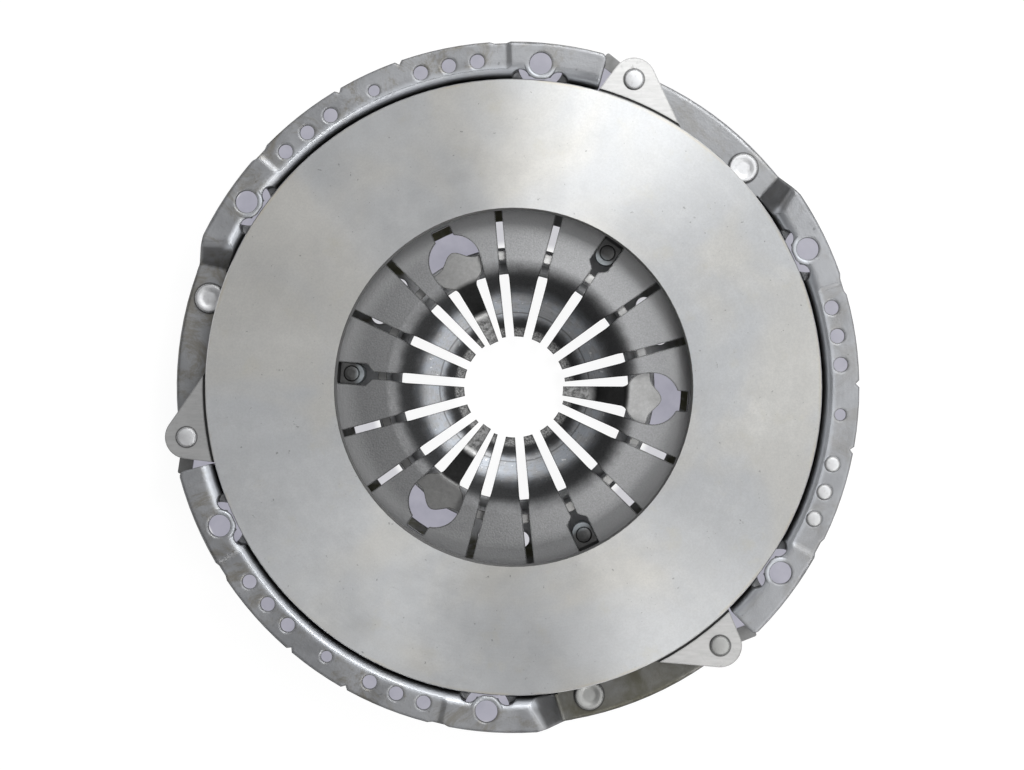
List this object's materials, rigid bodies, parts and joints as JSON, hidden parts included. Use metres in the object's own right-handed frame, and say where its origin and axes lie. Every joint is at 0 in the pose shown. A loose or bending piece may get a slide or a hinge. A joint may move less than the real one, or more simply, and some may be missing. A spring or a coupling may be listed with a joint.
{
  "type": "clutch pressure plate",
  "caption": "Diaphragm-spring clutch cover assembly: cast pressure plate with lugs on leaf straps, pressed cover with raised bolt flanges, slotted dished spring fingers.",
  "frame": {"origin": "centre of the circle of mounting holes, in the plane that bolts to the flywheel", "axes": "+Z along the shaft axis towards the flywheel, +X and +Y in the mounting plane"},
  "size_m": [0.4863, 0.484, 0.0673],
  "materials": {
    "pressed_steel": "pressed sheet steel, thinly oiled, satin grey",
    "machined_iron": "ground friction face over a grey cast body",
    "spring_steel": "shot-peened tempered spring steel, polished at the finger bends",
    "retainer_steel": "dull phosphated spring strip",
    "wire_steel": "drawn wire",
    "key_steel": "plain turned steel",
    "strap_steel": "bright spring strip",
    "plated_rivet_steel": "bright zinc plate"
  },
  "bodies": {
    "cover": {"cover": "pressed_steel", "diaphragm_spring": "spring_steel", "bearing_retaining_spring": "retainer_steel", "fulcrum_ring": "wire_steel", "spring_guide_keys": "key_steel", "guide_key_rivets": "key_steel", "drive_strap_a_leaf_1": "strap_steel", "drive_strap_a_leaf_2": "strap_steel", "drive_strap_a_leaf_3": "strap_steel", "drive_strap_a_leaf_4": "strap_steel", "drive_strap_b_leaf_1": "strap_steel", "drive_strap_b_leaf_2": "strap_steel", "drive_strap_b_leaf_3": "strap_steel", "drive_strap_b_leaf_4": "strap_steel", "drive_strap_c_leaf_1": "strap_steel", "drive_strap_c_leaf_2": "strap_steel", "drive_strap_c_leaf_3": "strap_steel", "drive_strap_c_leaf_4": "strap_steel", "strap_cover_rivets": "plated_rivet_steel", "strap_cover_washers": "plated_rivet_steel", "strap_spacers": "plated_rivet_steel", "balance_rivets": "plated_rivet_steel"},
    "pressure_plate": {"pressure_plate": "machined_iron", "strap_lug_rivets": "plated_rivet_steel", "strap_lug_washers": "plated_rivet_steel"}
  },
  "joints": [
    {"name": "plate_travel", "type": "slide", "parent": "cover", "child": "pressure_plate", "axis": [0, 0, 1], "range_m": [-0.006, 0], "stiffness_N_per_m": 200000, "springref_m": 0.002, "deforming": ["diaphragm_spring", "bearing_retaining_spring", "drive_strap_a_leaf_1", "drive_strap_a_leaf_2", "drive_strap_a_leaf_3", "drive_strap_a_leaf_4", "drive_strap_b_leaf_1", "drive_strap_b_leaf_2", "drive_strap_b_leaf_3", "drive_strap_b_leaf_4", "drive_strap_c_leaf_1", "drive_strap_c_leaf_2", "drive_strap_c_leaf_3", "drive_strap_c_leaf_4"]}
  ]
}
